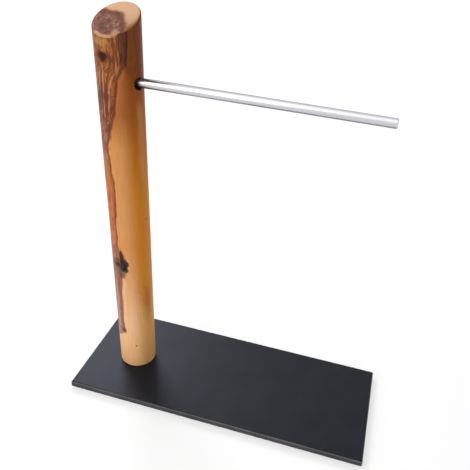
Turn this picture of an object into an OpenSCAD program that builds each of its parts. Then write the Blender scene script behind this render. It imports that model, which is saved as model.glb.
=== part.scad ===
// Free-standing fruit hanger: a sanded branch with an oblique top stands on a slate slab
// and carries one straight bare metal rod. Millimetres, +Z up, rod along +X.
// Origin: middle of the footprint, on the surface that the pads rest on.

/* [Slate slab] */
// Length of the slab, along the rod
slab_length = 240; // [200:5:320]
// Width of the slab
slab_width = 95; // [70:5:140]
// Thickness of the slab
slab_thick = 5; // [4:0.5:10]
// Bevel on every sawn edge
slab_bevel = 0.4; // [0.2:0.1:1]

/* [Branch] */
// Mean diameter of the branch
post_dia = 29; // [28:0.5:40]
// Distance from the slab's end to the middle of the branch
post_inset = 38.5; // [25:0.5:60]
// Height of the branch on its axis, up to the oblique cut
post_height = 276.5; // [220:0.5:320]
// Tilt of the oblique cut from level
cut_tilt = 27; // [5:1:35]
// Direction in which the cut rises, from +X towards +Y
cut_heading = 85; // [0:5:180]
// Rounding of the sanded rim round the cut
rim_ease = 0.8; // [0.3:0.1:1.5]
// How far the branch is out of round
ovality = 0.15; // [0:0.05:0.5]

/* [Knots] */
// Drop from the cut's middle to the upper knot's hollow
upper_knot_drop = 19; // [16:0.5:40]
// Side of the branch that the upper knot is on, from +X towards +Y
upper_knot_side = -104; // [-170:1:-60]
// Height of the lower knot's hollow above the slab
lower_knot_height = 108.5; // [60:0.5:150]
// Side of the branch that the lower knot is on
lower_knot_side = -88; // [-170:1:-60]

/* [Rod] */
// Diameter of the bar stock
rod_dia = 6; // [4:0.5:8]
// Whole length of the rod, its hidden end included
rod_length = 180; // [120:1:220]
// Length of the rod that sits in the branch
rod_seat = 22.5; // [12:0.5:23]
// Drop from the cut's middle to the rod's axis
rod_drop = 35.5; // [30:0.5:80]
// Distance from the branch's axis forward to the rod's axis
rod_forward = 1.5; // [0:0.5:3]
// Chamfer at both ends of the rod
rod_chamfer = 0.4; // [0.2:0.1:1]

/* [Screw and pads] */
// Thread diameter of the wood screw
screw_dia = 4.5; // [3.5:0.5:5]
// Whole length of the wood screw
screw_length = 40; // [25:5:60]
// Diameter of the screw's countersunk head
screw_head = 8.6; // [7:0.1:9]
// Diameter of each pad
pad_dia = 10; // [8:1:14]
// Thickness of each pad
pad_thick = 1.5; // [1:0.5:3]
// Distance from the slab's edges to the middle of each pad
pad_inset = 12; // [10:1:20]

/* [Hidden] */
$fn = 96;

slab_top = pad_thick + slab_thick;
post_x = post_inset - slab_length / 2;
post_r = post_dia / 2;
seat_gap = 0.05;        // radial gap for glue round the rod, and round the screw

// Screw: its head sits a little inside the slab, in a hole with room round the shank.
head_sunk = 0.3;
head_high = (screw_head - screw_dia) / 2;
shank_hole = screw_dia + 0.6;
tip_high = 5;

// Rod: its hole ends blind, and the hole's mouth is reamed wider towards the front and below.
rod_height = post_height - rod_drop;
mouth_inner = rod_dia + 1.2;
mouth_outer = rod_dia + 1.8;
mouth_deep = 3;
mouth_forward = 1.6;
mouth_below = 0.3;
rod_start = post_x + post_r - rod_seat;

upper_knot_height = post_height - upper_knot_drop;
// Each knot: side, height, half width, half height, depth, corner (1 is a diamond, 2 is an ellipse)
knots = [
    [upper_knot_side, upper_knot_height, 4.4, 3.8, 1.5, 2],
    [lower_knot_side, lower_knot_height, 5.0, 11.0, 2.4, 1],
    [lower_knot_side - 22, lower_knot_height - 2, 3.4, 3.0, 1.0, 2],
];
post_sides = 64;
foot_ease = 0.5;
rim_steps = 3;
cut_drop = post_r * tan(cut_tilt);
lean_from = post_height - 1.4 * cut_drop;
knot_margin = 3;

// Depth of all hollows at one place on the branch, side given in degrees
function across(side, knot) = post_r * PI / 180 * (side - knot[0] - 360 * round((side - knot[0]) / 360));
function reach(side, high, knot) =
    pow(pow(abs(across(side, knot)) / knot[2], knot[5]) + pow(abs(high - knot[1]) / knot[3], knot[5]), 1 / knot[5]);
function bowl(d) = d < 1 ? pow(1 - d * d, 2) : 0;
function hollow(side, high, i = 0) =
    i == len(knots) ? 0 : knots[i][4] * bowl(reach(side, high, knots[i])) + hollow(side, high, i + 1);

// The branch's radius, and the height of the oblique cut above its mean
function bark(side, high) = post_r + ovality * cos(2 * side - 60) - hollow(side, high);
function rise(side, radius) = radius * tan(cut_tilt) * cos(side - cut_heading);
function lean(side, level) = rise(side, post_r) * max(0, level - lean_from) / (post_height - lean_from);

// Levels at which the branch's outline is drawn, closer together over the knots
function spread(from, to, count) = [for (i = [0 : count - 1]) from + (to - from) * i / count];
lower_from = lower_knot_height - knots[1][3] - knot_margin;
lower_to = lower_knot_height + knots[1][3] + knot_margin;
upper_from = upper_knot_height - knots[0][3] - knot_margin;
levels = concat(
    spread(foot_ease, lower_from, 4),
    spread(lower_from, lower_to, 13),
    spread(lower_to, upper_from, 5),
    spread(upper_from, lean_from, 8),
    spread(lean_from, post_height - rim_ease, 3));

// One closed outline of the branch: on its side, or on the rounded rim at a turn from 0 (side) to 90 (cut)
function side_ring(level) =
    [for (k = [0 : post_sides - 1]) let (side = 360 * k / post_sides, high = level + lean(side, level))
        [bark(side, high) * cos(side), bark(side, high) * sin(side), high]];
function rim_ring(turn) =
    [for (k = [0 : post_sides - 1]) let (side = 360 * k / post_sides,
            radius = bark(side, post_height) - rim_ease * (1 - cos(turn)))
        [radius * cos(side), radius * sin(side), post_height + rise(side, radius) - rim_ease * (1 - sin(turn))]];
function foot_ring() =
    [for (k = [0 : post_sides - 1]) let (side = 360 * k / post_sides, radius = bark(side, 0) - foot_ease)
        [radius * cos(side), radius * sin(side), 0]];

module branch() {
    rings = concat([foot_ring()], [for (level = levels) side_ring(level)],
        [for (i = [0 : rim_steps]) rim_ring(90 * i / rim_steps)]);
    points = concat([for (ring = rings) each ring], [[0, 0, 0], [0, 0, post_height]]);
    foot = len(points) - 2;
    top = len(points) - 1;
    last = (len(rings) - 1) * post_sides;
    faces = concat(
        [for (j = [0 : len(rings) - 2], k = [0 : post_sides - 1]) let (a = j * post_sides + k,
                b = j * post_sides + (k + 1) % post_sides)
            each [[a, b + post_sides, b], [a, a + post_sides, b + post_sides]]],
        [for (k = [0 : post_sides - 1]) [foot, k, (k + 1) % post_sides]],
        [for (k = [0 : post_sides - 1]) [top, last + (k + 1) % post_sides, last + k]]);
    polyhedron(points, faces, convexity = 6);
}

module rod_hole() {
    translate([post_r - rod_seat, -rod_forward, rod_height]) rotate([0, 90, 0])
        cylinder(h = rod_seat + 10, d = rod_dia + 2 * seat_gap);
    translate([post_r - mouth_deep, -rod_forward - mouth_forward, rod_height - mouth_below])
        rotate([0, 90, 0])
            cylinder(h = 2 * mouth_deep, d1 = mouth_inner, d2 = 2 * mouth_outer - mouth_inner);
}

module pilot_hole() {
    deep = screw_length - slab_thick + head_sunk;
    translate([0, 0, -1]) cylinder(h = deep - tip_high + 1, d = screw_dia + 2 * seat_gap);
    translate([0, 0, deep - tip_high]) cylinder(h = tip_high, d1 = screw_dia + 2 * seat_gap, d2 = 0.6);
}

module post() {
    color("#b9793f") translate([post_x, 0, slab_top]) difference() {
        branch();
        rod_hole();
        pilot_hole();
    }
}

// Outline of a bar whose four long edges are bevelled
module bevelled(width, height) {
    x = width / 2;
    y = height / 2;
    b = slab_bevel;
    polygon([[b - x, -y], [x - b, -y], [x, b - y], [x, y - b], [x - b, y], [b - x, y], [-x, y - b], [-x, b - y]]);
}

module slate_base() {
    color("#45464c") translate([0, 0, pad_thick + slab_thick / 2]) difference() {
        intersection() {
            linear_extrude(slab_thick, center = true) bevelled(slab_length, slab_width);
            rotate([90, 0, 0]) linear_extrude(slab_width, center = true) bevelled(slab_length, slab_thick);
            rotate([90, 0, 90]) linear_extrude(slab_length, center = true) bevelled(slab_width, slab_thick);
        }
        translate([post_x, 0, -slab_thick / 2]) {
            translate([0, 0, -1]) cylinder(h = slab_thick + 2, d = shank_hole);
            translate([0, 0, -1]) cylinder(h = 1 + head_sunk, d = screw_head + 0.6);
            translate([0, 0, head_sunk])
                cylinder(h = head_high, d1 = screw_head + 0.6, d2 = shank_hole);
        }
    }
}

module hanging_rod() {
    r = rod_dia / 2;
    c = rod_chamfer;
    color("#d9dadc") translate([rod_start, -rod_forward, slab_top + rod_height]) rotate([0, 90, 0])
        rotate_extrude()
            polygon([[0, 0], [r - c, 0], [r, c], [r, rod_length - c], [r - c, rod_length], [0, rod_length]]);
}

module base_screw() {
    r = screw_dia / 2;
    slot_long = 4.4;
    slot_wide = 0.9;
    slot_deep = 2.2;
    color("#c8b063") translate([post_x, 0, pad_thick + head_sunk]) difference() {
        rotate_extrude()
            polygon([[0, 0], [screw_head / 2, 0], [screw_head / 2, 0.3], [r, 0.3 + head_high],
                [r, screw_length - tip_high], [0.4, screw_length - 0.4], [0, screw_length - 0.4]]);
        for (turn = [0, 90])
            rotate([0, 0, turn + 20]) translate([-slot_long / 2, -slot_wide / 2, -1])
                cube([slot_long, slot_wide, slot_deep + 1]);
    }
}

// Pads are numbered round the slab, from the front left corner
module foot_pad(number) {
    x = (slab_length / 2 - pad_inset) * (number == 1 || number == 4 ? -1 : 1);
    y = (slab_width / 2 - pad_inset) * (number < 3 ? -1 : 1);
    r = pad_dia / 2;
    edge = 0.4;
    color("#26272a") translate([x, y, 0]) rotate_extrude() {
        translate([0, 0]) square([r - edge, pad_thick]);
        translate([0, edge]) square([r, pad_thick - edge]);
        translate([r - edge, edge]) circle(edge, $fn = 32);
    }
}

slate_base();
post();
hanging_rod();
base_screw();
foot_pad(1);  // foot_pad_1
foot_pad(2);  // foot_pad_2
foot_pad(3);  // foot_pad_3
foot_pad(4);  // foot_pad_4
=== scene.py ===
import math

import bmesh
import bpy
import numpy as np
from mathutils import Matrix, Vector, noise


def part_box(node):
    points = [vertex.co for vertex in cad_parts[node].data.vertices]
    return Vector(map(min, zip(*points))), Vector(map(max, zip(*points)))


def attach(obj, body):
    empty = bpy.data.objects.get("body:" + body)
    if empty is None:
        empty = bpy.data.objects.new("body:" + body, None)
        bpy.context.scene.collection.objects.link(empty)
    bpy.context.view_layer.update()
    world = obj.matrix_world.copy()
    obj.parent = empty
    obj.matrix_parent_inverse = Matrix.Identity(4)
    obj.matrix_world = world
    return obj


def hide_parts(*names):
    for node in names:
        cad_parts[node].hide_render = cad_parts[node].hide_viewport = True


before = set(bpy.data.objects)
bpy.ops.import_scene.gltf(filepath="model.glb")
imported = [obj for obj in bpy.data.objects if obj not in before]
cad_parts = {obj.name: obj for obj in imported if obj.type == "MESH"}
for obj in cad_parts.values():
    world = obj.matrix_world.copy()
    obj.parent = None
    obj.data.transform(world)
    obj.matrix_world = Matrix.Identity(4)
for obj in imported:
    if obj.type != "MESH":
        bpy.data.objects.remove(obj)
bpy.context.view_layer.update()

# A free-standing fruit hanger: an olive branch with an oblique top stands on a slate slab and
# carries one straight bare rod. The scene is in metres; MM turns a real size into them.
MM = 0.001

# Places taken from the frame
SLAB_LOW, SLAB_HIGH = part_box("slate_base")
ROD_LOW, ROD_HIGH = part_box("hanging_rod")
SCREW_LOW, SCREW_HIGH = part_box("base_screw")
SLAB_TOP = SLAB_HIGH.z
SLAB_THICK = SLAB_HIGH.z - SLAB_LOW.z
AXIS_X = (SCREW_LOW.x + SCREW_HIGH.x) / 2
ROD_Y = (ROD_LOW.y + ROD_HIGH.y) / 2
ROD_Z = (ROD_LOW.z + ROD_HIGH.z) / 2
ROD_RADIUS = (ROD_HIGH.z - ROD_LOW.z) / 2
PADS = ["foot_pad_1", "foot_pad_2", "foot_pad_3", "foot_pad_4"]

# The branch, as its maker would measure it
POST_RADIUS = 14.5 * MM
CUT_DROP = 35.5 * MM          # from the middle of the oblique cut down to the rod's axis
CUT_Z = ROD_Z + CUT_DROP
CUT_TILT = math.radians(27)
CUT_HEADING = math.radians(85)
CUT_FACING = (-math.sin(CUT_TILT) * math.cos(CUT_HEADING), -math.sin(CUT_TILT) * math.sin(CUT_HEADING),
              math.cos(CUT_TILT))
RIM_EASE = 0.8 * MM
FOOT_EASE = 0.5 * MM
OVALITY = 0.15 * MM
BARK_SWAY = 0.12 * MM         # how far the bark wanders from its outline
RAGGED_EDGE = 0.22            # how far a knot's edge wanders, as a share of its size
RAGGED_DEPTH = 0.35           # how far its depth does, as a share of its depth
SEAT_GAP = 0.05 * MM
MOUTH_DEPTH = 3.0 * MM        # the hole's mouth is reamed wider, towards the front and below
MOUTH_INNER = 3.6 * MM
MOUTH_OUTER = 3.9 * MM
MOUTH_FORWARD = 1.6 * MM
MOUTH_BELOW = 0.3 * MM
SCREW_RADIUS = 2.25 * MM
ROUND_SIDES = 64              # sides of the bores and the pads

# Knots: side in degrees from +X towards +Y, height above the slab, half width, half height and
# depth in mm, and the corner (1 is a diamond, 2 is an ellipse)
KNOTS = [
    (-104, 257.5, 4.4, 3.8, 1.5, 2),
    (-88, 108.5, 5.0, 11.0, 2.4, 1),
    (-110, 106.5, 3.4, 3.0, 1.0, 2),
]


def colour(code):
    """Turns an sRGB hex colour to the linear values that a shader takes."""
    parts = [int(code[i:i + 2], 16) / 255 for i in (1, 3, 5)]
    return [c / 12.92 if c <= 0.04045 else ((c + 0.055) / 1.055) ** 2.4 for c in parts] + [1]


def set_inputs(tree, node, inputs):
    """Puts a value, or another node's output, on each named input of a node."""
    for name, value in inputs.items():
        if isinstance(value, bpy.types.NodeSocket):
            tree.links.new(value, node.inputs[name])
        else:
            node.inputs[name].default_value = value


def add(tree, kind, inputs=None, **settings):
    """Adds one node, with its settings, and with a value or another node's output on each input."""
    node = tree.nodes.new(kind)
    for name, value in settings.items():
        setattr(node, name, value)
    set_inputs(tree, node, inputs or {})
    return node


def start_material(name):
    """An empty material with its Principled shader, which each finish below fills in."""
    material = bpy.data.materials.new(name)
    material.use_nodes = True
    tree = material.node_tree
    tree.nodes.clear()
    shader = add(tree, "ShaderNodeBsdfPrincipled")
    add(tree, "ShaderNodeOutputMaterial", {"Surface": shader.outputs["BSDF"]})
    return material, tree, shader


def place_in_mm(tree, origin=(0, 0, 0)):
    """Object coordinates in millimetres, counted from a point given in metres."""
    spot = add(tree, "ShaderNodeTexCoord")
    return add(tree, "ShaderNodeMapping", {
        "Vector": spot.outputs["Object"], "Location": [-c / MM for c in origin],
        "Scale": (1 / MM, 1 / MM, 1 / MM)}, vector_type="POINT").outputs["Vector"]


# Camera, at the photograph's viewing angle
CAMERA_PLACE = (80.581 * MM, -308.684 * MM, 355.465 * MM)
CAMERA_TURN = (55.2891, -3.7572, 15.7035)
CAMERA_LENS = 41.443
CAMERA_SHIFT = (-0.025623, 0.039559)


def make_camera():
    data = bpy.data.cameras.new("camera")
    data.sensor_width = 36
    data.lens = CAMERA_LENS
    data.shift_x, data.shift_y = CAMERA_SHIFT
    data.clip_start = 0.01
    camera = bpy.data.objects.new("camera", data)
    camera.location = CAMERA_PLACE
    camera.rotation_euler = [math.radians(a) for a in CAMERA_TURN]
    bpy.context.scene.collection.objects.link(camera)
    bpy.context.scene.camera = camera


# Mesh helpers

def deselect_all():
    if bpy.context.object and bpy.context.object.mode != "OBJECT":
        bpy.ops.object.mode_set(mode="OBJECT")
    bpy.ops.object.select_all(action="DESELECT")


def start_piece(name):
    """The primitive just added becomes a named piece with its place in its mesh, in edit mode."""
    piece = bpy.context.object
    piece.name = name
    piece.data.name = name
    bpy.ops.object.transform_apply(location=True, rotation=True, scale=True)
    bpy.ops.object.mode_set(mode="EDIT")
    return piece


def choose_edges(piece, test):
    """Selects the edges whose two ends pass the test."""
    bpy.ops.mesh.select_mode(type="EDGE")
    bpy.ops.mesh.select_all(action="DESELECT")
    mesh = bmesh.from_edit_mesh(piece.data)
    for edge in mesh.edges:
        a, b = (v.co for v in edge.verts)
        edge.select_set(bool(test(a, b)))
    bmesh.update_edit_mesh(piece.data)


def choose_faces(piece, test):
    """Selects the faces whose middle and normal pass the test."""
    bpy.ops.mesh.select_mode(type="FACE")
    bpy.ops.mesh.select_all(action="DESELECT")
    mesh = bmesh.from_edit_mesh(piece.data)
    for face in mesh.faces:
        face.select_set(bool(test(face.calc_center_median(), face.normal)))
    bmesh.update_edit_mesh(piece.data)


def points_of(piece):
    places = np.empty(len(piece.data.vertices) * 3)
    piece.data.vertices.foreach_get("co", places)
    return places.reshape(-1, 3)


def move_points(piece, places):
    piece.data.vertices.foreach_set("co", places.ravel())
    piece.data.update()


def cut_away(piece, cutter):
    """Takes the cutter's shape out of the piece, and deletes the cutter."""
    deselect_all()
    bpy.context.view_layer.objects.active = piece
    piece.select_set(True)
    cut = piece.modifiers.new("cut", "BOOLEAN")
    cut.operation = "DIFFERENCE"
    cut.solver = "EXACT"
    cut.object = cutter
    bpy.ops.object.modifier_apply(modifier=cut.name)
    bpy.data.objects.remove(cutter)


def finish_piece(piece, slot, nodes, *materials, angle=35):
    """Gives the piece its materials and smooth shading, and lets it stand for its CAD nodes."""
    deselect_all()
    bpy.context.view_layer.objects.active = piece
    piece.select_set(True)
    bpy.ops.object.shade_smooth_by_angle(angle=math.radians(angle))
    for material in materials:
        piece.data.materials.append(material)
    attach(piece, "root")
    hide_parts(*nodes)
    piece.select_set(False)


def rough(places, size, seed, detail=3):
    """Smooth seeded unevenness from -1 to 1 at each place, with bumps about size across."""
    shift = Vector((seed * 7.3, seed * 3.1, seed * 5.7))
    return np.array([noise.fractal(Vector(p) / size + shift, 1.0, 2.0, detail) for p in places])


# The olive branch

def knot_hollow(side, high, ragged):
    """Depth of the knots' hollows, in metres, for sides in degrees and heights in mm."""
    depth = np.zeros_like(side)
    for at_side, at_high, half_wide, half_high, deep, corner in KNOTS:
        turn = (side - at_side + 180) % 360 - 180
        across = np.abs(np.radians(turn)) * POST_RADIUS / MM / half_wide
        along = np.abs(high - at_high) / half_high
        reach = (across ** corner + along ** corner) ** (1 / corner) * (1 + RAGGED_EDGE * ragged)
        depth += deep * MM * np.where(reach < 1, (1 - reach ** 2) ** 2, 0) * (1 + RAGGED_DEPTH * ragged)
    return depth


def make_post():
    """Round bar, cut obliquely, eased at both ends, hollowed at its knots and drilled twice."""
    sides = 160
    long_edge = 100 * MM
    tall = CUT_Z - SLAB_TOP + 2 * POST_RADIUS
    deselect_all()
    bpy.ops.mesh.primitive_cylinder_add(vertices=sides, radius=POST_RADIUS, depth=tall,
                                        location=(AXIS_X, 0, SLAB_TOP + tall / 2))
    post = start_piece("post_branch")
    bpy.ops.mesh.select_all(action="SELECT")
    bpy.ops.mesh.bisect(plane_co=(AXIS_X, 0, CUT_Z), plane_no=CUT_FACING, use_fill=True, clear_outer=True)
    choose_edges(post, lambda a, b: min(a.z, b.z) > SLAB_TOP + long_edge)
    bpy.ops.mesh.bevel(offset=RIM_EASE, segments=5, affect="EDGES")
    choose_edges(post, lambda a, b: max(a.z, b.z) < SLAB_TOP + MM)
    bpy.ops.mesh.bevel(offset=FOOT_EASE, segments=3, affect="EDGES")
    # Two passes give the long side faces 380 rings, close enough for the knots' ragged edges.
    choose_edges(post, lambda a, b: abs(a.z - b.z) > long_edge)
    bpy.ops.mesh.subdivide(number_cuts=19)
    choose_edges(post, lambda a, b: abs(a.z - b.z) > 10 * MM)
    bpy.ops.mesh.subdivide(number_cuts=18)
    deselect_all()

    places = points_of(post)
    x, y = places[:, 0] - AXIS_X, places[:, 1]
    high = (places[:, 2] - SLAB_TOP) / MM
    side = np.degrees(np.arctan2(y, x))
    from_axis = np.hypot(x, y)
    ragged = rough(places, 2.2 * MM, 1)
    sway = rough(places * (1, 1, 0.4), 22 * MM, 2)
    oval = OVALITY * np.cos(np.radians(2 * side - 60))
    move = oval + BARK_SWAY * sway - knot_hollow(side, high, ragged)
    grow = 1 + move / POST_RADIUS * (from_axis / POST_RADIUS) ** 2
    places[:, 0] = AXIS_X + x * grow
    places[:, 1] = y * grow
    move_points(post, places)

    bore = ROD_RADIUS + SEAT_GAP
    bark_x = AXIS_X + POST_RADIUS
    deep = bark_x - ROD_LOW.x
    bpy.ops.mesh.primitive_cylinder_add(vertices=ROUND_SIDES, radius=bore, depth=2 * deep,
                                        location=(bark_x, ROD_Y, ROD_Z), rotation=(0, math.pi / 2, 0))
    cut_away(post, bpy.context.object)
    bpy.ops.mesh.primitive_cone_add(vertices=ROUND_SIDES, radius1=MOUTH_INNER,
                                    radius2=2 * MOUTH_OUTER - MOUTH_INNER, depth=2 * MOUTH_DEPTH,
                                    location=(bark_x, ROD_Y - MOUTH_FORWARD, ROD_Z - MOUTH_BELOW),
                                    rotation=(0, math.pi / 2, 0))
    cut_away(post, bpy.context.object)
    bpy.ops.mesh.primitive_cylinder_add(vertices=ROUND_SIDES, radius=SCREW_RADIUS + SEAT_GAP,
                                        depth=2 * (SCREW_HIGH.z - SLAB_TOP + 0.5 * MM),
                                        location=(AXIS_X, 0, SLAB_TOP))
    cut_away(post, bpy.context.object)
    finish_piece(post, "olive_wood", ["post"], olive_wood())


# Heights are in mm above the slab, and sides in degrees from +X towards +Y.
FIGURE_LOW, FIGURE_HIGH = 0, 290      # heights between which the figure is drawn
SIDE_LEFT, SIDE_RIGHT = -180, 30      # sides between which the veins are drawn

# Heartwood: height and side at which its right-hand edge comes out at the bark. It starts above
# the foot, passes the lower knot and widens under the cut.
HEART_EDGE = [
    (0, -160), (26, -150), (33, -128), (36, -108), (42, -103), (48, -103), (60, -103), (80, -101),
    (95, -97), (113, -97), (122, -104), (132, -103), (150, -100), (165, -99), (174, -99),
    (185, -104), (197, -108), (206, -104), (214, -95), (219, -88), (226, -80), (234, -76),
    (242, -70), (249, -59), (254, -49), (260, -40), (272, -40), (276, -46), (280, -49), (290, -49),
]
HEART_FACING = math.radians(201)      # the way that the heartwood's edge faces, across the branch
PITH = (-6.5, -4.5, 0)                # the pith, in mm from the branch's axis

# Sapwood by height, in front and round to the right. In front it is lighter at the foot by painted light;
# round to the right it is darker by painted shade.
SAP_FRONT = [
    (0, "#fcc389"), (25, "#f8c18c"), (45, "#f3bf93"), (80, "#e7ac79"), (123, "#da9354"), (140, "#d8985e"),
    (170, "#d69355"), (200, "#d08f50"), (222, "#ad6634"), (245, "#ad6634"),
]
SAP_RIGHT_SHADED = [
    (0, "#e8b16c"), (55, "#e2a560"), (80, "#d38b38"), (123, "#d28119"), (165, "#c97d18"),
    (200, "#b16413"), (222, "#964f0e"), (245, "#944b0c"),
]

# Heartwood by height: its lighter and its darker colour
HEART_LIGHT = [
    (30, "#c58f7a"), (60, "#b98468"), (100, "#a4725a"), (122, "#bd7746"), (150, "#c97038"),
    (185, "#c07636"), (203, "#a86c4c"), (213, "#a86a48"), (232, "#a05e36"), (242, "#bd7a45"),
    (255, "#b97540"), (267, "#ad6c38"), (272, "#956651"), (290, "#956651"),
]
HEART_DARK = [
    (30, "#a66c58"), (60, "#9a6650"), (100, "#7a4c3a"), (122, "#9a5530"), (150, "#a95424"),
    (185, "#8e4c28"), (203, "#784434"), (213, "#703a26"), (232, "#5a2c1b"), (242, "#834622"),
    (255, "#7a3f20"), (267, "#7d4622"), (272, "#684033"), (290, "#684033"),
]

# How strongly the heartwood's dark lines are drawn, by height
FIGURED = [(0, 0.1), (205, 0.1), (217, 0.75), (243, 0.7), (253, 0.45), (290, 0.4)]

# Heartwood's colours on the cut, by share of the way from its darkest to its palest ring
RINGS = [(0.36, "#613c30"), (0.46, "#764b3d"), (0.53, "#865b4c"), (0.59, "#9b7262"), (0.67, "#b08a78")]

# Veins, and one band of painted light: colour, strength and half width in mm, then (height, side) along each
VEINS_AND_LIGHT_BAND = [
    ("#74331a", 0.75, 1.1, [(208, -102), (215, -94), (221, -87), (227, -83), (236, -78), (243, -73),
                            (247, -66), (251, -60), (254, -54)]),
    ("#b07640", 0.45, 0.7, [(230, -74), (235, -71), (242, -66), (249, -56)]),
    ("#c3814c", 0.7, 0.6, [(226, -97), (231, -95), (236, -93), (245, -85), (249, -76), (253, -69)]),
    ("#6c2e18", 0.85, 0.9, [(222, -102), (230, -101), (238, -100), (244, -94), (250, -89), (256, -84)]),
    ("#6a3018", 0.6, 0.5, [(214, -108), (222, -105), (231, -105), (240, -104), (248, -101)]),
    ("#5e2a17", 0.8, 0.9, [(218, -116), (226, -114), (234, -115), (242, -112), (250, -114)]),
    ("#e0a078", 0.5, 0.4, [(222, -110), (231, -110), (238, -108), (246, -107), (251, -104)]),
    ("#5e2a17", 0.75, 0.8, [(226, -128), (235, -124), (243, -126), (251, -122)]),
    ("#e0a078", 0.45, 0.4, [(224, -121), (233, -119), (242, -120), (249, -118)]),
    ("#4f2619", 0.9, 2.3, [(257, -51), (263, -51), (272, -50), (280, -48)]),
    ("#33170f", 0.75, 0.6, [(256, -59), (262, -62), (267, -61), (273, -58)]),
    ("#33170f", 0.75, 0.6, [(254, -47), (259, -43), (264, -43), (271, -42)]),
    ("#75463c", 0.6, 0.5, [(255, -54), (260, -52), (267, -52)]),
    ("#5c2a10", 0.55, 3.4, [(244, -8), (272, -8)]),
    # Painted light: a broad pale band where light falls along the right-hand side.
    ("#c98a45", 0.45, 3.0, [(182, -13), (222, -13)]),
    ("#5a2a1a", 0.8, 0.5, [(255, -66), (261, -68), (266, -66), (272, -66)]),
    ("#a5744a", 0.55, 0.45, [(256, -71), (262, -72), (268, -70)]),
    ("#7d3218", 0.75, 1.0, [(250, -76), (257, -74), (262, -73), (268, -75)]),
    ("#cc7438", 0.6, 0.8, [(150, -113), (164, -112), (178, -116)]),
    ("#8c4a28", 0.5, 0.4, [(150, -107), (166, -106), (178, -109), (190, -114)]),
    ("#844c3a", 0.7, 1.2, [(42, -109), (52, -111), (70, -111), (90, -111)]),
    ("#c49684", 0.6, 1.0, [(40, -122), (52, -125), (70, -126), (88, -126)]),
    ("#efc59e", 0.6, 0.7, [(44, -95), (60, -96), (80, -95), (92, -91)]),
]

# Stains, and one painted shade: side, height, half width and half height in mm, colour,
# strength, and the share of the way in at which each is full
STAINS_AND_SHADE = [
    (-134, 229, 6.5, 7.5, "#4b332a", 0.6, 0.4),
    (-113, 234, 7.5, 3.2, "#5c3022", 0.7, 0.4),
    (-114, 247, 7.0, 5.0, "#c08350", 0.15, 0.4),
    (-118, 199, 5.0, 3.0, "#8e4530", 0.65, 0.3),
    (-106, 266, 7.5, 3.0, "#b8844f", 0.65, 0.4),
    (-100, 257.5, 8.4, 5.0, "#6c2c1c", 0.92, 0.35),
    (-104, 258, 2.9, 2.9, "#35231a", 0.97, 0.6),
    (-118, 118, 8.0, 6.5, "#945848", 0.6, 0.4),
    (-99, 97, 5.0, 5.6, "#6a463c", 0.85, 0.3),
    (-110, 105, 4.6, 7.0, "#5d4133", 0.8, 0.3),
    (-111, 104.2, 3.4, 1.3, "#33261f", 0.9, 0.5),
    (-109, 110, 3.4, 1.1, "#3f3029", 0.8, 0.5),
    (-118, 40, 5.0, 3.4, "#9c6255", 0.7, 0.4),
    (-108, 39, 3.2, 3.8, "#84402f", 0.9, 0.4),
    (-68, 24, 1.0, 1.2, "#6a4224", 0.8, 0.4),
    (-9, 143, 1.8, 1.1, "#985610", 0.75, 0.4),
    (-18, 58, 6.5, 20, "#c0803c", 0.5, 0.1),
    (-20, 72, 6.0, 18, "#b86020", 0.6, 0.15),
    (-97, 113.8, 1.9, 6.4, "#33291f", 0.97, 0.6),
    (-91, 105.2, 4.0, 7.2, "#3a2a2a", 0.97, 0.65),
    (-81, 106.6, 2.3, 2.6, "#33292a", 0.97, 0.7),
    (-83, 101.8, 2.2, 2.8, "#3a2a28", 0.9, 0.6),
    (-88, 104.4, 2.3, 5.2, "#1e282c", 0.95, 0.4),
    (-69, 271.2, 3.2, 2.6, "#c49674", 0.8, 0.35),
    (-78, 269.5, 0.8, 0.8, "#4a2a20", 0.8, 0.4),
    # Painted shade: the dark inside of the hole's mouth, round the rod.
    (-12.4, 240.7, 4.2, 4.1, "#1c1009", 0.98, 0.8),
]


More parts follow.
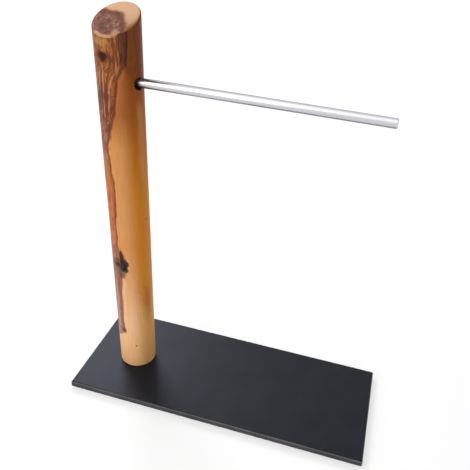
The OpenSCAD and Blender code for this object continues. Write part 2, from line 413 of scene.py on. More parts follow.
def olive_wood():
    """Olive wood, sanded and oiled: tan sapwood, dark figured heartwood, a low satin sheen."""
    material, tree, shader = start_material("olive_wood_sanded_and_oiled")
    place = place_in_mm(tree, (AXIS_X, 0, SLAB_TOP))
    # Growth follows the branch, so every unevenness in it is longer along Z than across.
    slow = add(tree, "ShaderNodeMapping", {"Vector": place, "Scale": (1, 1, 0.4)}).outputs["Vector"]
    wander = add(tree, "ShaderNodeTexNoise", {"Vector": slow, "Scale": 1 / 5, "Detail": 4, "Roughness": 0.6})
    wander = add(tree, "ShaderNodeVectorMath", {0: wander.outputs["Color"], 1: (0.5, 0.5, 0.5)},
                 operation="SUBTRACT").outputs["Vector"]
    bent = add(tree, "ShaderNodeVectorMath", {0: wander, 1: (3.2, 3.2, 5), 2: place},
               operation="MULTIPLY_ADD").outputs["Vector"]
    parts = add(tree, "ShaderNodeSeparateXYZ", {"Vector": bent}).outputs
    high = parts["Z"]
    side = add(tree, "ShaderNodeMath", {0: parts["Y"], 1: parts["X"]}, operation="ARCTAN2").outputs[0]
    side = add(tree, "ShaderNodeMath", {0: side}, operation="DEGREES").outputs[0]
    level = add(tree, "ShaderNodeVectorMath", {0: place, 1: (1, 1, 0)}, operation="MULTIPLY").outputs[0]
    from_axis = add(tree, "ShaderNodeVectorMath", {0: level}, operation="LENGTH").outputs["Value"]
    under_cut = add(tree, "ShaderNodeVectorMath", {0: place, 1: CUT_FACING},
                    operation="DOT_PRODUCT").outputs["Value"]
    cut_at = (CUT_Z - SLAB_TOP) / MM * math.cos(CUT_TILT)
    under_cut = add(tree, "ShaderNodeMath", {0: cut_at, 1: under_cut}, operation="SUBTRACT").outputs[0]

    # Masks, each rising from none to all between two places: in mm under the cut, in mm from the
    # axis, in mm towards the back, and in degrees round the bark
    on_cut, near_cut, outer, at_back, far_side, to_right_shade, right, low_side, ahead = (
        add(tree, "ShaderNodeMapRange", {"Value": place_on, "From Min": none_at, "From Max": all_at},
            interpolation_type="SMOOTHSTEP").outputs[0]
        for place_on, none_at, all_at in (
            (under_cut, 0.7, 0.2), (under_cut, 0.9, 0.4), (from_axis, 13.5, 14.0),
            (parts["Y"], 2, 11), (parts["Y"], 6, -12),
            (side, -78, -32), (side, -60, -34), (side, -66, -84), (side, -142, -122)))
    share = add(tree, "ShaderNodeMapRange", {"Value": high, "From Min": FIGURE_LOW,
                                             "From Max": FIGURE_HIGH}).outputs[0]

    # Fibres, drawn about 1 mm apart so that they show
    fibre_at = add(tree, "ShaderNodeMapping", {"Vector": bent, "Scale": (1, 1, 0.05)}).outputs["Vector"]
    fibre = add(tree, "ShaderNodeTexNoise", {"Vector": fibre_at, "Scale": 1.0, "Detail": 5}).outputs["Fac"]

    # Sapwood: tan in front and lighter at the foot by painted light, ochre and darker round to the right by
    # painted shade, browner towards the top, plain at the back
    not_back = add(tree, "ShaderNodeMath", {0: 1.0, 1: at_back}, operation="SUBTRACT").outputs[0]
    to_right_shade = add(tree, "ShaderNodeMath", {0: to_right_shade, 1: not_back}, operation="MULTIPLY").outputs[0]
    front = draw_ramp(tree, share, SAP_FRONT)
    right_shaded = draw_ramp(tree, share, SAP_RIGHT_SHADED)
    sap = add(tree, "ShaderNodeMix", {"Factor": to_right_shade, 6: front, 7: right_shaded},
              data_type="RGBA").outputs[2]
    plain = add(tree, "ShaderNodeMath", {0: at_back, 1: 0.65}, operation="MULTIPLY").outputs[0]
    sap = add(tree, "ShaderNodeMix", {"Factor": plain, 6: sap, 7: colour("#c48a54")},
              data_type="RGBA").outputs[2]
    # On the cut the sapwood is darker towards the front, and towards the rim at the front it is darkened
    # further with painted shade.
    sap_cut = add(tree, "ShaderNodeMix", {"Factor": far_side, 6: colour("#d6a985"), 7: colour("#b08450")},
                  data_type="RGBA").outputs[2]
    rim_shade = add(tree, "ShaderNodeMath", {0: parts["Y"], 1: -0.25, 2: from_axis},
                 operation="MULTIPLY_ADD").outputs[0]
    rim_shade = add(tree, "ShaderNodeMapRange", {"Value": rim_shade, "From Min": 10.5, "From Max": 15.5},
                 interpolation_type="SMOOTHSTEP").outputs[0]
    sap_cut = add(tree, "ShaderNodeMix", {"Factor": rim_shade, 6: sap_cut, 7: colour("#7a5228")},
                  data_type="RGBA").outputs[2]
    sap = add(tree, "ShaderNodeMix", {"Factor": on_cut, 6: sap, 7: sap_cut}, data_type="RGBA").outputs[2]

    # Heartwood: how far a point lies inside its edge, in mm
    facing = (math.cos(HEART_FACING), math.sin(HEART_FACING), 0)
    across = add(tree, "ShaderNodeVectorMath", {0: bent, 1: facing}, operation="DOT_PRODUCT").outputs["Value"]
    radius = POST_RADIUS / MM
    edge = draw_curve(tree, share, [(share_of(at), 0.5 - 0.5 * math.cos(math.radians(turn) - HEART_FACING))
                                    for at, turn in HEART_EDGE])
    inside = add(tree, "ShaderNodeMath", {0: edge, 1: 2 * radius, 2: -radius},
                 operation="MULTIPLY_ADD").outputs[0]
    inside = add(tree, "ShaderNodeMath", {0: inside, 1: across}, operation="ADD").outputs[0]
    back = add(tree, "ShaderNodeVectorMath", {0: bent, 1: (-0.15, -1.0, 0)},
               operation="DOT_PRODUCT").outputs["Value"]
    back = add(tree, "ShaderNodeMath", {0: back, 1: 5.6}, operation="ADD").outputs[0]
    inside = add(tree, "ShaderNodeMath", {0: inside, 1: back, 2: 5.0}, operation="SMOOTH_MIN").outputs[0]
    blend = add(tree, "ShaderNodeMapRange", {"Value": on_cut, "To Min": 0.45, "To Max": 1.4}).outputs[0]
    no_blend = add(tree, "ShaderNodeMath", {0: blend, 1: -1}, operation="MULTIPLY").outputs[0]
    heart_mask = add(tree, "ShaderNodeMapRange", {"Value": inside, "From Min": no_blend, "From Max": blend},
                     interpolation_type="SMOOTHSTEP").outputs[0]
    light = draw_ramp(tree, share, HEART_LIGHT)
    dark = draw_ramp(tree, share, HEART_DARK)

    # Its growth lies in thin layers along its edge, mottled, with dark lines that swirl through it.
    layer_at_height = add(tree, "ShaderNodeMath", {0: high, 1: 0.07}, operation="MULTIPLY").outputs[0]
    layer_at = add(tree, "ShaderNodeCombineXYZ", {"X": inside, "Y": layer_at_height}).outputs[0]
    layer = add(tree, "ShaderNodeTexNoise", {"Vector": layer_at, "Scale": 1.3, "Detail": 5,
                                             "Roughness": 0.7}).outputs["Fac"]
    cloud = add(tree, "ShaderNodeTexNoise", {"Vector": slow, "Scale": 1 / 5, "Detail": 6, "Roughness": 0.62,
                                             "Distortion": 1.2}).outputs["Fac"]
    figure = add(tree, "ShaderNodeMath", {0: layer, 1: 1.6}, operation="MULTIPLY").outputs[0]
    figure = add(tree, "ShaderNodeMath", {0: cloud, 1: 0.6, 2: figure}, operation="MULTIPLY_ADD").outputs[0]
    mottle = add(tree, "ShaderNodeMapRange", {"Value": figure, "From Min": 0.98, "From Max": 1.24},
                 interpolation_type="SMOOTHSTEP").outputs[0]
    heart = add(tree, "ShaderNodeMix", {"Factor": mottle, 6: light, 7: dark}, data_type="RGBA").outputs[2]
    swirl = add(tree, "ShaderNodeTexNoise", {"Vector": slow, "Scale": 1 / 7, "Detail": 3, "Distortion": 1.2})
    swirl = add(tree, "ShaderNodeMath", {0: swirl.outputs["Fac"], 1: 12}, operation="MULTIPLY").outputs[0]
    swirl = add(tree, "ShaderNodeMath", {0: swirl, 1: 0.5}, operation="PINGPONG").outputs[0]
    figured = draw_curve(tree, share, [(share_of(at), value) for at, value in FIGURED])
    lines = add(tree, "ShaderNodeMapRange", {"Value": swirl, "From Min": 0.2, "From Max": 0.04,
                                             "To Max": figured}, interpolation_type="SMOOTHSTEP").outputs[0]
    heart = add(tree, "ShaderNodeMix", {"Factor": lines, 6: heart, 7: colour("#552617")},
                data_type="RGBA").outputs[2]

    # On the cut the heartwood shows uneven rings round the pith: brown, pale between, darkest inside.
    from_pith = add(tree, "ShaderNodeVectorMath", {0: bent, 1: PITH}, operation="SUBTRACT").outputs[0]
    from_pith = add(tree, "ShaderNodeVectorMath", {0: from_pith, 1: (1, 0.7, 0)},
                    operation="MULTIPLY").outputs[0]
    round_pith = add(tree, "ShaderNodeVectorMath", {0: from_pith, 1: (0.45, 0.45, 0)},
                     operation="MULTIPLY").outputs[0]
    from_pith = add(tree, "ShaderNodeVectorMath", {0: from_pith}, operation="LENGTH").outputs["Value"]
    uneven_pith = add(tree, "ShaderNodeMath", {0: cloud, 1: 5.0, 2: from_pith},
                      operation="MULTIPLY_ADD").outputs[0]
    round_pith = add(tree, "ShaderNodeSeparateXYZ", {"Vector": round_pith}).outputs
    ring_at = add(tree, "ShaderNodeCombineXYZ", {"X": uneven_pith, "Y": round_pith["X"],
                                                 "Z": round_pith["Y"]}).outputs[0]
    rings = add(tree, "ShaderNodeTexNoise", {"Vector": ring_at, "Scale": 0.75, "Detail": 5, "Roughness": 0.65,
                                             "Distortion": 1.6}).outputs["Fac"]
    rings = draw_ramp(tree, rings, RINGS, 0, 1)
    pith = add(tree, "ShaderNodeMapRange", {"Value": from_pith, "From Min": 4.2, "From Max": 0.5,
                                            "To Max": 0.6}, interpolation_type="SMOOTHSTEP").outputs[0]
    rings = add(tree, "ShaderNodeMix", {"Factor": pith, 6: rings, 7: colour("#4f342b")},
                data_type="RGBA").outputs[2]
    heart = add(tree, "ShaderNodeMix", {"Factor": on_cut, 6: heart, 7: rings}, data_type="RGBA").outputs[2]

    # At the back, long flames of darker growth run through the sapwood.
    flame = add(tree, "ShaderNodeMath", {0: at_back, 1: 0.4}, operation="MULTIPLY").outputs[0]
    flame = add(tree, "ShaderNodeMath", {0: flame, 1: outer}, operation="MULTIPLY").outputs[0]
    flame = add(tree, "ShaderNodeMapRange", {"Value": figure, "From Min": 1.0, "From Max": 1.3,
                                             "To Max": flame}, interpolation_type="SMOOTHSTEP").outputs[0]
    sap = add(tree, "ShaderNodeMix", {"Factor": flame, 6: sap, 7: colour("#8d5428")},
              data_type="RGBA").outputs[2]
    wood = add(tree, "ShaderNodeMix", {"Factor": heart_mask, 6: sap, 7: heart}, data_type="RGBA").outputs[2]

    # The heartwood's outline is its darkest vein. On the cut it is a broader, softer band.
    for centre, half_wide, strength, where in ((0.6, 0.9, 0.75, outer), (2.4, 2.6, 0.55, on_cut)):
        away = add(tree, "ShaderNodeMath", {0: inside, 1: centre}, operation="SUBTRACT").outputs[0]
        away = add(tree, "ShaderNodeMath", {0: away}, operation="ABSOLUTE").outputs[0]
        drawn = add(tree, "ShaderNodeMapRange", {"Value": high, "From Min": 112, "From Max": 130,
                                                 "To Min": 0.3 * strength, "To Max": strength}).outputs[0]
        line = add(tree, "ShaderNodeMapRange", {"Value": away, "From Min": half_wide, "From Max": 0.1,
                                                "To Max": drawn}, interpolation_type="SMOOTHSTEP").outputs[0]
        line = add(tree, "ShaderNodeMath", {0: line, 1: where}, operation="MULTIPLY").outputs[0]
        wood = add(tree, "ShaderNodeMix", {"Factor": line, 6: wood, 7: colour("#6a3520")},
                   data_type="RGBA").outputs[2]

    # Right under the cut, on the right-hand side, the outermost wood is drawn darker too.
    dark_high_right = add(tree, "ShaderNodeMapRange", {"Value": high, "From Min": 226, "From Max": 256},
                  interpolation_type="SMOOTHSTEP").outputs[0]
    for limit in (right, outer, not_back):
        dark_high_right = add(tree, "ShaderNodeMath", {0: dark_high_right, 1: limit}, operation="MULTIPLY").outputs[0]
    ruddy = add(tree, "ShaderNodeMix", {"Factor": mottle, 6: colour("#7e430a"), 7: colour("#74360e")},
                data_type="RGBA").outputs[2]
    wood = add(tree, "ShaderNodeMix", {"Factor": dark_high_right, 6: wood, 7: ruddy}, data_type="RGBA").outputs[2]

    for code, strength, half_wide, points in VEINS_AND_LIGHT_BAND:
        band = band_mask(tree, side, share, half_wide, strength, points)
        band = add(tree, "ShaderNodeMath", {0: band, 1: outer}, operation="MULTIPLY").outputs[0]
        wood = add(tree, "ShaderNodeMix", {"Factor": band, 6: wood, 7: colour(code)},
                   data_type="RGBA").outputs[2]
    for at_side, at_high, half_wide, half_high, code, strength, full in STAINS_AND_SHADE:
        reach = knot_reach(tree, bent, at_side, at_high, half_wide, half_high)
        stain_and_shade = add(tree, "ShaderNodeMapRange", {"Value": reach, "From Min": 1, "From Max": full,
                                                 "To Max": strength},
                    interpolation_type="SMOOTHSTEP").outputs[0]
        wood = add(tree, "ShaderNodeMix", {"Factor": stain_and_shade, 6: wood, 7: colour(code)},
                   data_type="RGBA").outputs[2]

    # The lower knot's dark wood is streaked along its grain.
    streak = add(tree, "ShaderNodeMapping", {"Vector": bent, "Scale": (1, 1, 0.3)}).outputs["Vector"]
    streak = add(tree, "ShaderNodeTexNoise", {"Vector": streak, "Scale": 0.8, "Detail": 4}).outputs["Fac"]
    reach = knot_reach(tree, bent, -96, 106.5, 9.5, 11)
    knotty = add(tree, "ShaderNodeMapRange", {"Value": reach, "From Min": 1, "From Max": 0.6, "To Max": 0.75},
                 interpolation_type="SMOOTHSTEP").outputs[0]
    streak = add(tree, "ShaderNodeMapRange", {"Value": streak, "From Min": 0.5, "From Max": 0.62,
                                              "To Max": knotty}, interpolation_type="SMOOTHSTEP").outputs[0]
    streaked = add(tree, "ShaderNodeMix", {"Factor": 0.55, 6: wood, 7: colour("#7d5a50")},
                   data_type="RGBA").outputs[2]
    heart_only = add(tree, "ShaderNodeMapRange", {"Value": side, "From Min": -76, "From Max": -82}).outputs[0]
    streak = add(tree, "ShaderNodeMath", {0: streak, 1: heart_only}, operation="MULTIPLY").outputs[0]
    wood = add(tree, "ShaderNodeMix", {"Factor": streak, 6: wood, 7: streaked}, data_type="RGBA").outputs[2]

    # A pale ring along the low side of the cut: partly the lighter last growth, partly painted light on the
    # eased rim.
    ragged = add(tree, "ShaderNodeMath", {0: cloud, 1: 4.0, 2: from_axis},
                 operation="MULTIPLY_ADD").outputs[0]
    ring = add(tree, "ShaderNodeMapRange", {"Value": ragged, "From Min": 14.8, "From Max": 15.6},
               interpolation_type="SMOOTHSTEP").outputs[0]
    for limit in (near_cut, low_side, ahead):
        ring = add(tree, "ShaderNodeMath", {0: ring, 1: limit}, operation="MULTIPLY").outputs[0]
    wood = add(tree, "ShaderNodeMix", {"Factor": ring, 6: wood, 7: colour("#c69371")},
               data_type="RGBA").outputs[2]

    # Low on the right the fibres run aslant, past a knot that has grown over.
    aslant = add(tree, "ShaderNodeMath", {0: high, 1: 1.9, 2: side}, operation="MULTIPLY_ADD").outputs[0]
    aslant = add(tree, "ShaderNodeMath", {0: aslant, 1: math.radians(POST_RADIUS / MM)},
                 operation="MULTIPLY").outputs[0]
    aslant_at = add(tree, "ShaderNodeCombineXYZ", {"X": aslant, "Y": layer_at_height}).outputs[0]
    slanted = add(tree, "ShaderNodeTexNoise", {"Vector": aslant_at, "Scale": 1.3, "Detail": 4}).outputs["Fac"]
    slanted = add(tree, "ShaderNodeMapRange", {"Value": slanted, "From Min": 0.35, "From Max": 0.65,
                                               "To Min": 0.86, "To Max": 1.05}).outputs[0]
    round_knot = knot_reach(tree, bent, -24, 72, 9, 26)
    round_knot = add(tree, "ShaderNodeMapRange", {"Value": round_knot, "From Min": 1, "From Max": 0.5},
                     interpolation_type="SMOOTHSTEP").outputs[0]
    tone = add(tree, "ShaderNodeMapRange", {"Value": fibre, "From Min": 0.3, "From Max": 0.7,
                                            "To Min": 0.93, "To Max": 1.05}).outputs[0]
    tone = add(tree, "ShaderNodeMix", {"Factor": round_knot, "A": tone, "B": slanted}).outputs[0]
    wood = add(tree, "ShaderNodeMix", {"Factor": 1.0, 6: wood, 7: tone}, data_type="RGBA",
               blend_type="MULTIPLY").outputs[2]

    # The knots' own wood and the end grain of the cut are dull.
    dull = add(tree, "ShaderNodeMath", {0: on_cut, 1: 0.8}, operation="MULTIPLY").outputs[0]
    for knot in KNOTS:
        reach = knot_reach(tree, bent, *knot[:4])
        spot = add(tree, "ShaderNodeMapRange", {"Value": reach, "From Min": 1, "From Max": 0.6},
                   interpolation_type="SMOOTHSTEP").outputs[0]
        dull = add(tree, "ShaderNodeMath", {0: dull, 1: spot}, operation="MAXIMUM").outputs[0]
    sheen = add(tree, "ShaderNodeMapRange", {"Value": dull, "To Min": 0.48, "To Max": 0.95}).outputs[0]
    bump = add(tree, "ShaderNodeBump", {"Height": fibre, "Strength": 0.12, "Distance": 0.15 * MM})
    set_inputs(tree, shader, {"Base Color": wood, "Roughness": sheen, "Normal": bump.outputs[0],
                              "IOR": 1.45, "Specular IOR Level": 0.18})
    return material


def share_of(height):
    """Where a height above the slab, in mm, lies between the ends of the figure."""
    return (height - FIGURE_LOW) / (FIGURE_HIGH - FIGURE_LOW)


def band_mask(tree, side, share, half_wide, strength, points):
    """Strength of a vein, or a band of painted light, along the bark: full on its line, none beyond its width
    and its ends.
    """
    ends = [(0, points[0][1])] + [(share_of(at), turn) for at, turn in points] + [(1, points[-1][1])]
    line = draw_curve(tree, share, [(at, (turn - SIDE_LEFT) / (SIDE_RIGHT - SIDE_LEFT)) for at, turn in ends])
    turn = add(tree, "ShaderNodeMath", {0: line, 1: SIDE_RIGHT - SIDE_LEFT, 2: SIDE_LEFT},
               operation="MULTIPLY_ADD").outputs[0]
    away = add(tree, "ShaderNodeMath", {0: side, 1: turn}, operation="SUBTRACT").outputs[0]
    away = add(tree, "ShaderNodeMath", {0: away}, operation="ABSOLUTE").outputs[0]
    width = math.degrees(half_wide * MM / POST_RADIUS)
    mask = add(tree, "ShaderNodeMapRange", {"Value": away, "From Min": width * 1.5, "From Max": width * 0.3,
                                            "To Max": strength}, interpolation_type="SMOOTHSTEP").outputs[0]
    fade = (2 + 3 * half_wide) / (FIGURE_HIGH - FIGURE_LOW)
    for end, out in ((share_of(points[0][0]), -fade), (share_of(points[-1][0]), fade)):
        mask = add(tree, "ShaderNodeMapRange", {"Value": share, "From Min": end + out, "From Max": end,
                                                "To Max": mask}, interpolation_type="SMOOTHSTEP").outputs[0]
    return mask


def knot_reach(tree, place, side, high, half_wide, half_high):
    """Distance from a knot, stain or spot of painted shade that runs straight in from the bark: 1 at its
    edge.
    """
    turn = math.radians(side)
    radius = POST_RADIUS / MM
    local = add(tree, "ShaderNodeMapping", {
        "Vector": place, "Location": (radius * math.cos(turn), radius * math.sin(turn), high),
        "Rotation": (0, 0, turn), "Scale": (9, half_wide, half_high)}, vector_type="TEXTURE")
    return add(tree, "ShaderNodeVectorMath", {0: local.outputs["Vector"]},
               operation="LENGTH").outputs["Value"]


def draw_curve(tree, share, points):
    """A value by share of the height, on a smooth curve through the given points."""
    node = add(tree, "ShaderNodeFloatCurve", {"Value": share})
    line = node.mapping.curves[0]
    for at, value in points[1:-1]:
        line.points.new(at, value)
    line.points[0].location = points[0]
    line.points[-1].location = points[-1]
    for point in line.points:
        point.handle_type = "AUTO_CLAMPED"
    node.mapping.update()
    return node.outputs[0]


def draw_ramp(tree, share, stops, low=FIGURE_LOW, high=FIGURE_HIGH):
    """A colour by share of the way from low to high, blended between the given stops."""
    node = add(tree, "ShaderNodeValToRGB", {"Fac": share})
    ramp = node.color_ramp
    while len(ramp.elements) < len(stops):
        ramp.elements.new(0.5)
    for element, (at, code) in zip(ramp.elements, stops):
        element.position = (at - low) / (high - low)
        element.color = colour(code)
    return node.outputs["Color"]


# The slate slab

def make_slab():
    """Sawn slab: eased corners, edges bevelled and slightly chipped, a countersunk hole below."""
    size = SLAB_HIGH - SLAB_LOW
    middle = (SLAB_LOW + SLAB_HIGH) / 2
    upright_ease, worn_bevel, chipped_rim = 1.0 * MM, 0.7 * MM, 1.5 * MM
    saw_waver, chip_inward, chip_down = 0.12 * MM, 0.9 * MM, 0.6 * MM
    near_edge = 0.6 * MM
    deselect_all()
    bpy.ops.mesh.primitive_cube_add(size=1, location=middle, scale=size)
    slab = start_piece("slate_slab")
    choose_edges(slab, lambda a, b: abs(a.z - b.z) > size.z / 2)
    bpy.ops.mesh.bevel(offset=upright_ease, segments=4, affect="EDGES")
    choose_edges(slab, lambda a, b: abs(a.z - b.z) < size.z / 2)
    bpy.ops.mesh.bevel(offset=worn_bevel, segments=2, affect="EDGES")
    choose_faces(slab, lambda at, facing: abs(facing.z) > 0.99)
    bpy.ops.mesh.inset(thickness=chipped_rim)
    for along, cuts in ((0, 15), (0, 15), (1, 9), (1, 8)):
        choose_edges(slab, lambda a, b: abs(a[along] - b[along]) > 5 * MM
                     and abs(a[1 - along] - b[1 - along]) < MM)
        bpy.ops.mesh.subdivide(number_cuts=cuts)
    deselect_all()

    places = points_of(slab)
    half = np.array(size) / 2
    offset = places - np.array(middle)
    from_edge = half - np.abs(offset)
    uneven = rough(places, 9 * MM, 3) * 0.5 + 0.5
    chip = np.clip(rough(places, 2.5 * MM, 4) - 0.28, 0, 1)
    for axis in (0, 1):
        side_face = from_edge[:, axis] < near_edge
        inward = saw_waver * uneven + chip_inward * chip * (np.abs(offset[:, 2]) > half[2] - near_edge)
        places[:, axis] -= np.where(side_face, np.sign(offset[:, axis]) * inward, 0)
    edge = (np.minimum(from_edge[:, 0], from_edge[:, 1]) < near_edge) & (from_edge[:, 2] < near_edge)
    places[:, 2] -= np.where(edge, np.sign(offset[:, 2]) * chip_down * chip, 0)
    move_points(slab, places)

    shank = (SCREW_HIGH.x - SCREW_LOW.x) / 2 * 0.6
    head = (SCREW_HIGH.x - SCREW_LOW.x) / 2 + 0.3 * MM
    sunk = SCREW_LOW.z - SLAB_LOW.z
    for low, high, bottom, top in ((head, head, -MM, sunk), (head, shank, sunk, sunk + head - shank),
                                   (shank, shank, 0, SLAB_THICK + MM)):
        bpy.ops.mesh.primitive_cone_add(vertices=ROUND_SIDES, radius1=low, radius2=high, depth=top - bottom,
                                        location=(AXIS_X, 0, SLAB_LOW.z + (bottom + top) / 2))
        cut_away(slab, bpy.context.object)
    sawn = sawn_slate("slate_sawn_edge", "#39383b", "#4e4d50")
    # The bevels are drawn paler than the sawn sides: a painted highlight along the edges.
    bevel_highlight = sawn_slate("slate_bevel_highlight", "#525053", "#6d6b6e")
    finish_piece(slab, "slate", ["slate_base"], slate(), sawn, bevel_highlight)
    # The honed top, the sawn sides, and the bevels with their painted highlight.
    for face in slab.data.polygons:
        up = abs(face.normal.z)
        face.material_index = 0 if up > 0.95 else 2 if up > 0.25 else 1


def slate_tone(tree, dark, light):
    """Slate's fine clouded grey, with its grain: the colour and the grain's height."""
    place = place_in_mm(tree)
    cloud = add(tree, "ShaderNodeTexNoise", {"Vector": place, "Scale": 1 / 22, "Detail": 6}).outputs["Fac"]
    grain = add(tree, "ShaderNodeTexNoise", {"Vector": place, "Scale": 1.4, "Detail": 4}).outputs["Fac"]
    tone = add(tree, "ShaderNodeMath", {0: grain, 1: 0.6, 2: cloud}, operation="MULTIPLY_ADD").outputs[0]
    tone = add(tree, "ShaderNodeMapRange", {"Value": tone, "From Min": 0.6, "From Max": 1.0}).outputs[0]
    return add(tree, "ShaderNodeMix", {"Factor": tone, 6: colour(dark), 7: colour(light)},
               data_type="RGBA").outputs[2], grain


def slate():
    """Slate, sawn and honed: dark blue-grey and fine-grained, with a broad soft sheen."""
    material, tree, shader = start_material("slate_honed")
    base, grain = slate_tone(tree, "#121315", "#1c1d20")
    bump = add(tree, "ShaderNodeBump", {"Height": grain, "Strength": 0.12, "Distance": 0.1 * MM})
    # Its sheen is tinted blue, a painted reflection of a bluish sky.
    set_inputs(tree, shader, {"Base Color": base, "Roughness": 0.44, "Normal": bump.outputs[0],
                              "Specular IOR Level": 0.2, "Specular Tint": colour("#dde2ff")})
    return material


def sawn_slate(name, dark, light):
    """The same slate left rough by the saw, in the colours given: its own paler grey on the sawn sides, and
    paler still on the bevels as a painted highlight.
    """
    material, tree, shader = start_material(name)
    base, grain = slate_tone(tree, dark, light)
    bump = add(tree, "ShaderNodeBump", {"Height": grain, "Strength": 0.5, "Distance": 0.2 * MM})
    set_inputs(tree, shader, {"Base Color": base, "Roughness": 0.8, "Normal": bump.outputs[0],
                              "Specular IOR Level": 0.2})
    return material


# The rod

TOOL_MARKS = (1.2 * MM, 2.0 * MM, 2.8 * MM, 4.1 * MM, 6.2 * MM)      # places, from the free end
MARK_HALF_WIDE = 0.2 * MM
MARK_BOTTOM = 0.994           # radius at a mark's bottom, as a share of the rod's
FACE_RINGS = 4                # rings that the tool leaves on each end face
FACE_RING_WIDE = 0.55 * MM
FACE_RING_HIGH = 0.03 * MM


def make_rod():
    """Bar stock: a chamfer and turned rings at each end, and tool marks near the free end."""
    long = ROD_HIGH.x - ROD_LOW.x
    deselect_all()
    bpy.ops.mesh.primitive_cylinder_add(vertices=96, radius=ROD_RADIUS, depth=long,
                                        location=((ROD_LOW + ROD_HIGH) / 2), rotation=(0, math.pi / 2, 0))
    rod = start_piece("hanging_bar")
    choose_edges(rod, lambda a, b: abs(a.x - b.x) < long / 2)
    bpy.ops.mesh.bevel(offset=0.4 * MM, segments=2, affect="EDGES")
    for from_end in TOOL_MARKS:
        for step in (-MARK_HALF_WIDE, 0, MARK_HALF_WIDE):
            bpy.ops.mesh.select_all(action="SELECT")
            bpy.ops.mesh.bisect(plane_co=(ROD_HIGH.x - from_end + step, 0, 0), plane_no=(1, 0, 0))
        at = ROD_HIGH.x - from_end
        choose_edges(rod, lambda a, b: abs(a.x - at) < 0.01 * MM and abs(b.x - at) < 0.01 * MM)
        bpy.ops.transform.resize(value=(1, MARK_BOTTOM, MARK_BOTTOM), center_override=(at, ROD_Y, ROD_Z))
    for end in (ROD_LOW.x, ROD_HIGH.x):
        choose_faces(rod, lambda at, facing: abs(at.x - end) < 0.01 * MM)
        for ring in range(FACE_RINGS):
            bpy.ops.mesh.inset(thickness=FACE_RING_WIDE)
            step = FACE_RING_HIGH if (ring % 2 == 1) == (end > 0) else -FACE_RING_HIGH
            bpy.ops.transform.translate(value=(step, 0, 0))
    deselect_all()
    finish_piece(rod, "drawn_aluminium", ["hanging_rod"], aluminium())


def aluminium():
    """Aluminium, drawn through a die: a bright satin with faint lengthwise streaks."""
    material, tree, shader = start_material("aluminium_drawn")
    place = place_in_mm(tree)
    along = add(tree, "ShaderNodeMapping", {"Vector": place, "Scale": (0.02, 1, 1)}).outputs["Vector"]
    streak = add(tree, "ShaderNodeTexNoise", {"Vector": along, "Scale": 2.5, "Detail": 4}).outputs["Fac"]
    gloss = add(tree, "ShaderNodeMapRange", {"Value": streak, "From Min": 0.3, "From Max": 0.7,
                                             "To Min": 0.2, "To Max": 0.34}).outputs[0]
    bump = add(tree, "ShaderNodeBump", {"Height": streak, "Strength": 0.1, "Distance": 0.05 * MM})
    # The dark bluish tint at grazing angles is painted reflection, darkening the rod's top and bottom edges.
    set_inputs(tree, shader, {"Base Color": colour("#cdcdd2"), "Roughness": gloss, "Metallic": 1,
                              "Normal": bump.outputs[0], "Specular Tint": colour("#8a8a96")})
    return material


# The screw and the pads

def make_screw():
    """Countersunk wood screw, point up: head, cross recess, plain shank and a cut thread."""
    radius = SCREW_RADIUS
    head = (SCREW_HIGH.x - SCREW_LOW.x) / 2
    head_rim, point, tip = 0.3 * MM, 5 * MM, 0.4 * MM
    pitch, thread_depth = 2.0 * MM, 0.32      # the depth is a share of the radius
    recess = (4.4 * MM, 0.9 * MM, 4.4 * MM)
    shank_end = SCREW_LOW.z + 12 * MM
    thread_end = SCREW_HIGH.z - tip
    deselect_all()
    bpy.ops.mesh.primitive_circle_add(vertices=48, radius=head, fill_type="NGON",
                                      location=(AXIS_X, 0, SCREW_LOW.z))
    screw = start_piece("wood_screw")
    steps = [(head_rim, head), (head_rim + head - radius, radius), (shank_end - SCREW_LOW.z, radius),
             (thread_end - point - SCREW_LOW.z, radius), (thread_end - SCREW_LOW.z, tip)]
    at, wide = 0, head
    choose_faces(screw, lambda middle, facing: True)
    for rise, next_wide in steps:
        bpy.ops.mesh.extrude_region_move(TRANSFORM_OT_translate={"value": (0, 0, rise - at)})
        ratio = next_wide / wide
        bpy.ops.transform.resize(value=(ratio, ratio, 1), center_override=(AXIS_X, 0, 0))
        at, wide = rise, next_wide
    for cuts in (11, 12):
        choose_edges(screw, lambda a, b: min(a.z, b.z) > shank_end - MM and abs(a.z - b.z) > 0.3 * MM)
        bpy.ops.mesh.subdivide(number_cuts=cuts)
    bpy.ops.mesh.select_all(action="SELECT")
    bpy.ops.mesh.normals_make_consistent(inside=False)
    deselect_all()

    places = points_of(screw)
    x, y = places[:, 0] - AXIS_X, places[:, 1]
    turn = np.arctan2(y, x) / (2 * np.pi)
    tooth = np.abs(((places[:, 2] - SCREW_LOW.z) / pitch - turn) % 1 - 0.5) * 2
    start = np.clip((places[:, 2] - shank_end) / (2 * MM), 0, 1)
    shrink = 1 - thread_depth * start * np.clip((1 - tooth) * 1.6, 0, 1)
    places[:, 0] = AXIS_X + x * shrink
    places[:, 1] = y * shrink
    move_points(screw, places)
    for turn in (20, 110):
        bpy.ops.mesh.primitive_cube_add(size=1, location=(AXIS_X, 0, SCREW_LOW.z), scale=recess,
                                        rotation=(0, 0, math.radians(turn)))
        cutter = start_piece("recess")
        choose_faces(cutter, lambda middle, facing: facing.z > 0.9)
        bpy.ops.transform.resize(value=(0.55, 0.55, 1))
        deselect_all()
        cut_away(screw, cutter)
    finish_piece(screw, "zinc_plated_steel", ["base_screw"], zinc(), angle=30)


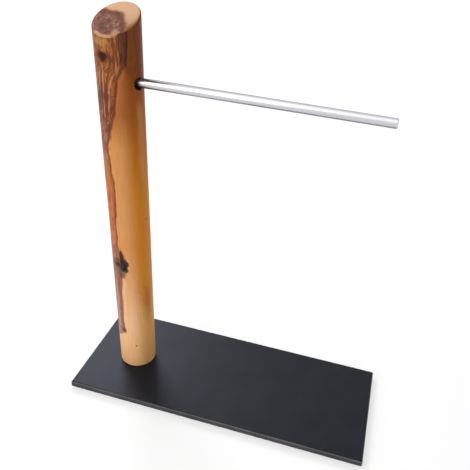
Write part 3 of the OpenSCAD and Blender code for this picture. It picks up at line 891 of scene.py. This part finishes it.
def zinc():
    """Steel, zinc-plated and passivated: a soft metal shine with a faint yellow cast."""
    material, tree, shader = start_material("steel_zinc_plated")
    place = place_in_mm(tree)
    cloud = add(tree, "ShaderNodeTexNoise", {"Vector": place, "Scale": 0.5, "Detail": 4}).outputs["Fac"]
    base = add(tree, "ShaderNodeMix", {"Factor": cloud, 6: colour("#c9c3a4"), 7: colour("#bdb7ac")},
               data_type="RGBA").outputs[2]
    gloss = add(tree, "ShaderNodeMapRange", {"Value": cloud, "To Min": 0.25, "To Max": 0.45}).outputs[0]
    set_inputs(tree, shader, {"Base Color": base, "Roughness": gloss, "Metallic": 1})
    return material


def make_pads():
    """Four moulded bumper pads: a straight stuck side, a rounded lower edge and a slight dish."""
    rubber = pad_rubber()
    lower_edge, flat_ring, slope, dish = 0.4 * MM, 1.2 * MM, 0.5 * MM, 0.2 * MM
    for name in PADS:
        low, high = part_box(name)
        radius = (high.x - low.x) / 2
        deselect_all()
        bpy.ops.mesh.primitive_cylinder_add(vertices=ROUND_SIDES, radius=radius, depth=high.z - low.z,
                                            location=(low + high) / 2)
        pad = start_piece("bumper_" + name[-1])
        choose_edges(pad, lambda a, b: max(a.z, b.z) < low.z + 0.1 * MM)
        bpy.ops.mesh.bevel(offset=lower_edge, segments=5, affect="EDGES")
        choose_faces(pad, lambda at, facing: facing.z < -0.99)
        bpy.ops.mesh.inset(thickness=flat_ring)
        bpy.ops.mesh.inset(thickness=slope)
        bpy.ops.transform.translate(value=(0, 0, dish))
        deselect_all()
        finish_piece(pad, "pad_rubber", [name], rubber)


def pad_rubber():
    """Polyurethane rubber, moulded: black, matt, with the mould's fine grain."""
    material, tree, shader = start_material("rubber_moulded")
    place = place_in_mm(tree)
    grain = add(tree, "ShaderNodeTexNoise", {"Vector": place, "Scale": 3, "Detail": 3}).outputs["Fac"]
    base = add(tree, "ShaderNodeMix", {"Factor": grain, 6: colour("#202124"), 7: colour("#2e3034")},
               data_type="RGBA").outputs[2]
    bump = add(tree, "ShaderNodeBump", {"Height": grain, "Strength": 0.3, "Distance": 0.05 * MM})
    set_inputs(tree, shader, {"Base Color": base, "Roughness": 0.7, "Normal": bump.outputs[0]})
    return material


# Stage

# Lamps: name, place and aim in metres, size across in metres, and power in watts
LAMPS = [
    ("window", (-0.60, -0.80, 0.75), (-0.05, 0, 0.15), 0.7, 5),
    ("skylight", (-0.62, 0.68, 0.86), (-0.03, 0, 0), 0.5, 8),
    ("ceiling", (-0.19, -0.55, 1.30), (0.01, 0, 0.25), 1.4, 3.7),
]
AMBIENT = 0.6

# Floor: strength of its own white, that white's share of its look near the object, and the
# distances in metres between which the share rises to all of it
FLOOR_WHITE = 1.055
FLOOR_SHARE = 0.56
FLOOR_NEAR, FLOOR_FAR = 0.25, 0.9


def seen_or_mirrored(tree):
    """1 for what the camera sees or a gloss shows, and 0 for light that falls on the object."""
    rays = add(tree, "ShaderNodeLightPath").outputs
    seen = add(tree, "ShaderNodeMath", {0: rays["Is Camera Ray"], 1: rays["Is Glossy Ray"]},
               operation="MAXIMUM").outputs[0]
    return add(tree, "ShaderNodeMath", {0: seen, 1: rays["Is Transmission Ray"]},
               operation="MAXIMUM").outputs[0]


def make_stage():
    """A pale floor that keeps the shadow, a white surround and three soft lamps."""
    deselect_all()
    bpy.ops.mesh.primitive_plane_add(size=6, location=(0, 0, 0))
    floor = bpy.context.object
    floor.name = "floor"
    material = bpy.data.materials.new("floor_paper")
    material.use_nodes = True
    tree = material.node_tree
    tree.nodes.clear()
    paper = add(tree, "ShaderNodeBsdfDiffuse", {"Color": (0.9, 0.9, 0.9, 1)})
    glow = add(tree, "ShaderNodeEmission", {"Color": (1, 1, 1, 1), "Strength": FLOOR_WHITE})
    # Near the object just over half of the floor's look is its own white, so that the shadow
    # shows; further away, where no shadow falls, all of it is.
    spot = add(tree, "ShaderNodeTexCoord").outputs["Object"]
    away = add(tree, "ShaderNodeVectorMath", {0: spot}, operation="LENGTH").outputs["Value"]
    share = add(tree, "ShaderNodeMapRange", {"Value": away, "From Min": FLOOR_NEAR, "From Max": FLOOR_FAR,
                                             "To Min": FLOOR_SHARE, "To Max": 1.0}).outputs[0]
    share = add(tree, "ShaderNodeMath", {0: seen_or_mirrored(tree), 1: share},
                operation="MULTIPLY").outputs[0]
    mixed = add(tree, "ShaderNodeMixShader", {"Fac": share, 1: paper.outputs[0], 2: glow.outputs[0]})
    add(tree, "ShaderNodeOutputMaterial", {"Surface": mixed.outputs[0]})
    floor.data.materials.append(material)

    world = bpy.data.worlds.new("surround")
    bpy.context.scene.world = world
    world.use_nodes = True
    tree = world.node_tree
    tree.nodes.clear()
    light = add(tree, "ShaderNodeMapRange", {"Value": seen_or_mirrored(tree), "To Min": AMBIENT,
                                             "To Max": 1.0}).outputs[0]
    surround = add(tree, "ShaderNodeBackground", {"Color": (1, 1, 1, 1), "Strength": light})
    add(tree, "ShaderNodeOutputWorld", {"Surface": surround.outputs[0]})

    for name, place, aim, size, power in LAMPS:
        lamp = bpy.data.lights.new(name, "AREA")
        lamp.size = size
        lamp.energy = power
        lit = bpy.data.objects.new(name, lamp)
        lit.location = place
        lit.rotation_euler = (Vector(aim) - Vector(place)).to_track_quat("-Z", "Y").to_euler()
        bpy.context.scene.collection.objects.link(lit)
    # The ceiling is a large plain panel that only shows mirrored, as a highlight along the metal.
    bpy.data.objects["ceiling"].visible_diffuse = False


def keep_off(lamp, piece):
    """Keeps a lamp's glare off one piece."""
    kept = bpy.data.collections.new("kept_off_" + lamp)
    kept.objects.link(bpy.data.objects[piece])
    kept.collection_objects[0].light_linking.link_state = "EXCLUDE"
    bpy.data.objects[lamp].light_linking.receiver_collection = kept


bpy.context.scene.view_settings.view_transform = "Standard"
make_camera()
make_stage()
make_post()
make_slab()
make_rod()
keep_off("skylight", "hanging_bar")
make_screw()
make_pads()
deselect_all()
